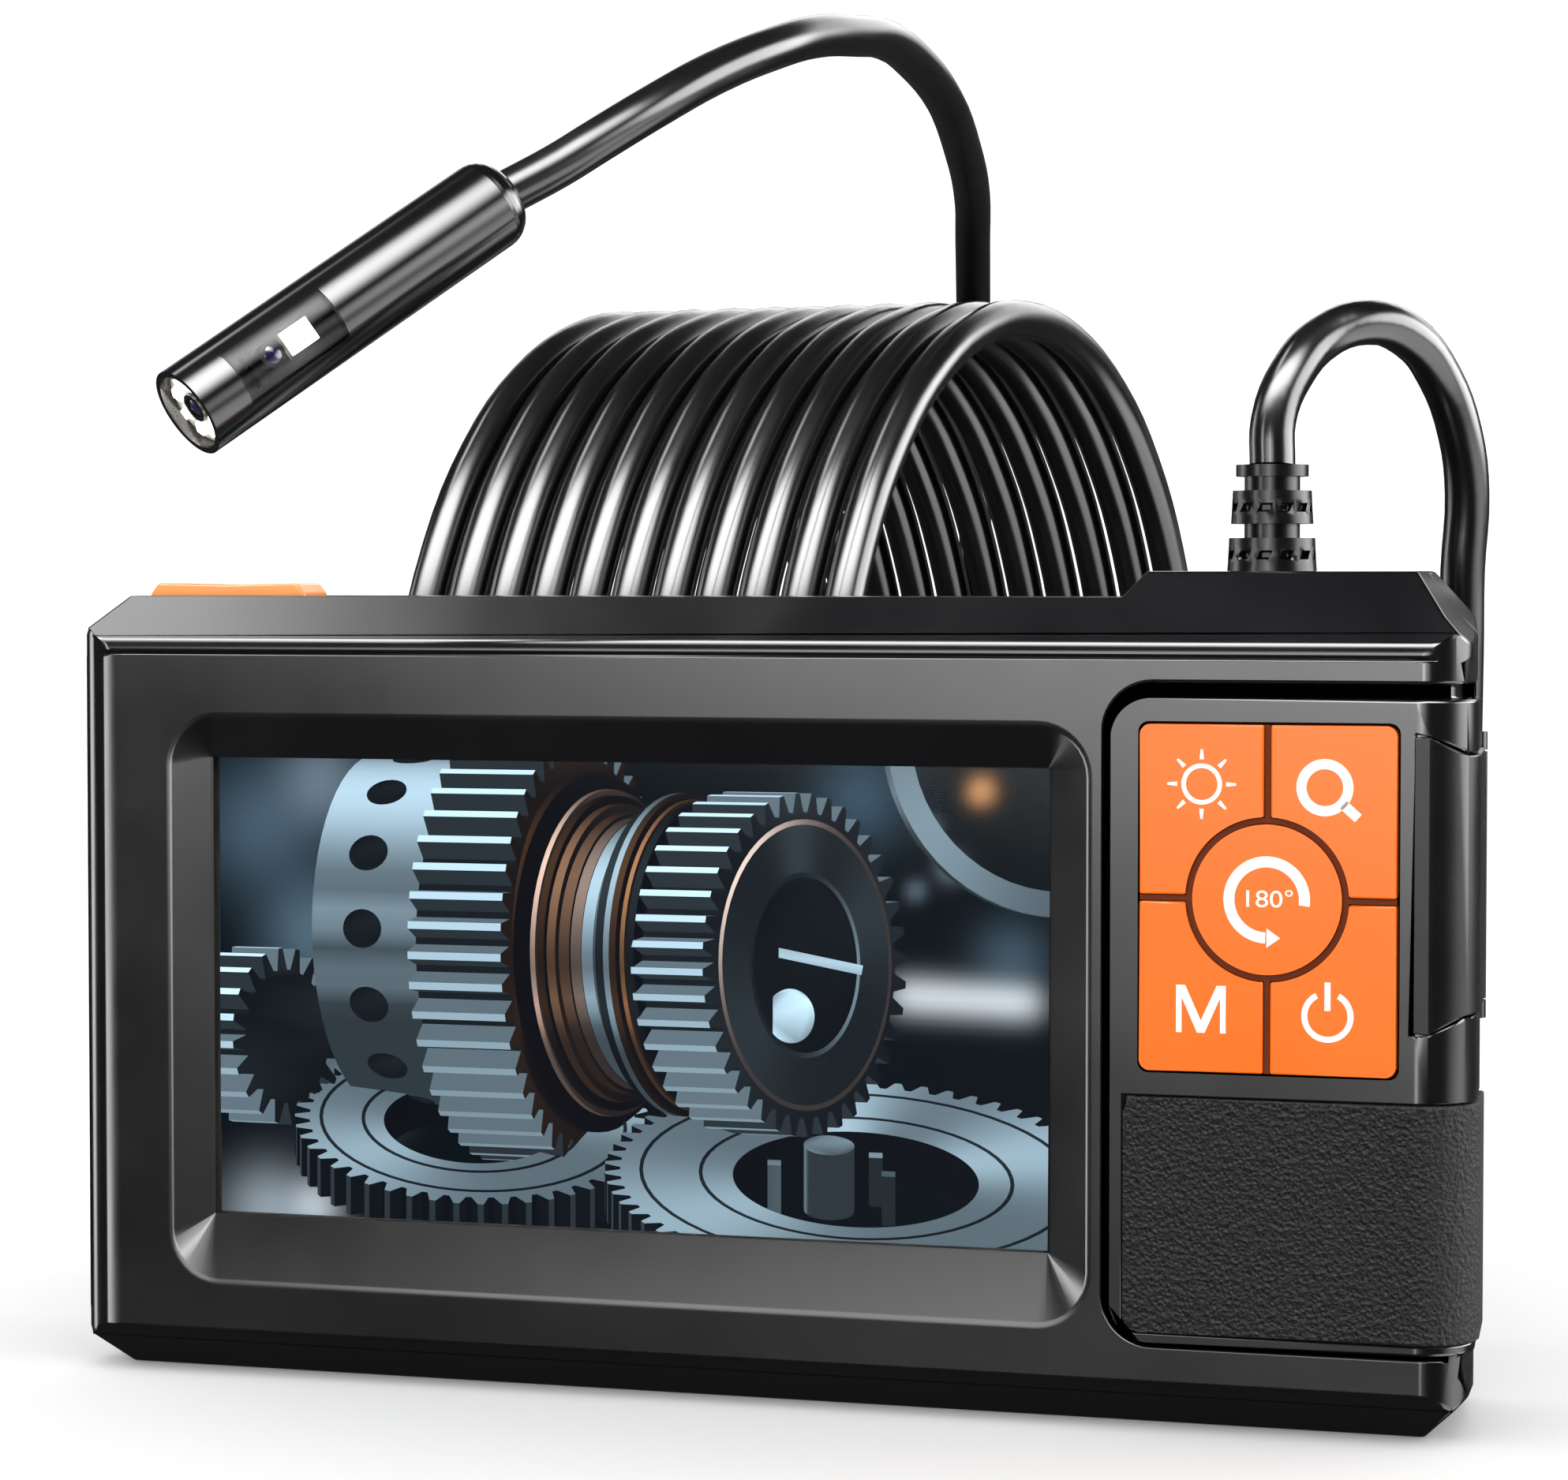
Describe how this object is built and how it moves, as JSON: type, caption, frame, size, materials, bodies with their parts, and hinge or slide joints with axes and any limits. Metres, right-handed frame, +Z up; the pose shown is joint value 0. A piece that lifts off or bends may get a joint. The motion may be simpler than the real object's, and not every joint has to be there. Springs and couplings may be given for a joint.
{
  "type": "inspection camera",
  "caption": "Hand-held inspection camera: monitor with slanted screen surround and orange keys, coiled semi-rigid cable and a slim lit probe with front and side views.",
  "frame": {"origin": "middle of the monitor's bottom edge face, which it stands on", "axes": "+X to the right seen from the front, the screen faces -Y, +Z up"},
  "size_m": [0.166, 0.2325, 0.1647],
  "materials": {
    "black_case": "satin moulded",
    "rubber": "matt grained",
    "orange_key": "satin",
    "rocker_orange": "satin",
    "clear_cover": "polished",
    "probe_window": "polished",
    "foam": "matt",
    "display": "lit panel",
    "steel": "plain",
    "dark_screw": "blackened",
    "green_board": "solder mask",
    "chip": "moulded",
    "battery_wrap": "shrink wrap",
    "cable_black": "glossy",
    "plug_white": "moulded",
    "probe_black": "glossy",
    "camera_black": "glossy",
    "lamp_white": "lit",
    "attachment_black": "glossy black",
    "magnet": "glossy black"
  },
  "bodies": {
    "monitor": {"front_housing": "black_case", "rear_housing": "black_case", "control_panel": "black_case", "grip_pad": "rubber", "strain_relief": "rubber", "key_web": "rubber", "screen_cover": "clear_cover", "front_window": "probe_window", "side_window": "probe_window", "screen_gasket": "foam", "battery_pad": "foam", "probe_seal": "foam", "display_panel": "display", "display_tray": "steel", "tray_screws": "steel", "key_domes": "steel", "keypad_screws": "steel", "board_screws": "steel", "usb_port": "steel", "card_slot": "steel", "flap_pin": "steel", "rocker_pin": "steel", "clamp_screws": "steel", "cable_clamp": "steel", "case_screws": "dark_screw", "keypad_board": "green_board", "main_board": "green_board", "rocker_board": "green_board", "probe_board": "green_board", "board_chips": "chip", "memory_card": "chip", "rocker_switches": "chip", "battery": "battery_wrap", "cable_core": "cable_black", "cable_lead_in": "cable_black", "cable_coil": "cable_black", "cable_lead_out": "cable_black", "cable_plug": "plug_white", "probe_shell": "probe_black", "probe_tail": "probe_black", "front_camera": "camera_black", "side_camera": "camera_black", "front_lamps": "lamp_white", "side_lamp": "lamp_white"},
    "light_key": {"key_light": "orange_key"},
    "zoom_key": {"key_zoom": "orange_key"},
    "mode_key": {"key_mode": "orange_key"},
    "power_key": {"key_power": "orange_key"},
    "rotate_key": {"key_rotate": "orange_key"},
    "rocker": {"rocker_key": "rocker_orange"},
    "flap": {"port_flap": "rubber"},
    "magnet_tool": {"magnet_stalk": "attachment_black", "magnet": "magnet"},
    "hook_tool": {"hook": "attachment_black"},
    "ring": {"end_ring": "attachment_black"}
  },
  "joints": [
    {"name": "light_press", "type": "slide", "parent": "monitor", "child": "light_key", "axis": [0, 1, 0], "range_m": [0, 0.0006], "stiffness_N_per_m": 1500},
    {"name": "zoom_press", "type": "slide", "parent": "monitor", "child": "zoom_key", "axis": [0, 1, 0], "range_m": [0, 0.0006], "stiffness_N_per_m": 1500},
    {"name": "mode_press", "type": "slide", "parent": "monitor", "child": "mode_key", "axis": [0, 1, 0], "range_m": [0, 0.0006], "stiffness_N_per_m": 1500},
    {"name": "power_press", "type": "slide", "parent": "monitor", "child": "power_key", "axis": [0, 1, 0], "range_m": [0, 0.0006], "stiffness_N_per_m": 1500},
    {"name": "rotate_press", "type": "slide", "parent": "monitor", "child": "rotate_key", "axis": [0, 1, 0], "range_m": [0, 0.0006], "stiffness_N_per_m": 1500},
    {"name": "rocker_tilt", "type": "hinge", "parent": "monitor", "child": "rocker", "pos_m": [-0.0654, -0.005, 0.0886], "axis": [0, 1, 0], "range_deg": [-2.5, 2.5], "stiffness_Nm_per_rad": 0.4},
    {"name": "flap_swing", "type": "hinge", "parent": "monitor", "child": "flap", "pos_m": [0.0811, 0.0037, 0.061], "axis": [0, 0, 1], "range_deg": [0, 100]},
    {"name": "magnet_tool_lift", "type": "slide", "parent": "monitor", "child": "magnet_tool", "axis": [0, 0, 1], "range_m": [0, 0.05]},
    {"name": "hook_tool_lift", "type": "slide", "parent": "monitor", "child": "hook_tool", "axis": [0, 0, 1], "range_m": [0, 0.05]},
    {"name": "ring_lift", "type": "slide", "parent": "monitor", "child": "ring", "axis": [0, 0, 1], "range_m": [0, 0.03]}
  ]
}
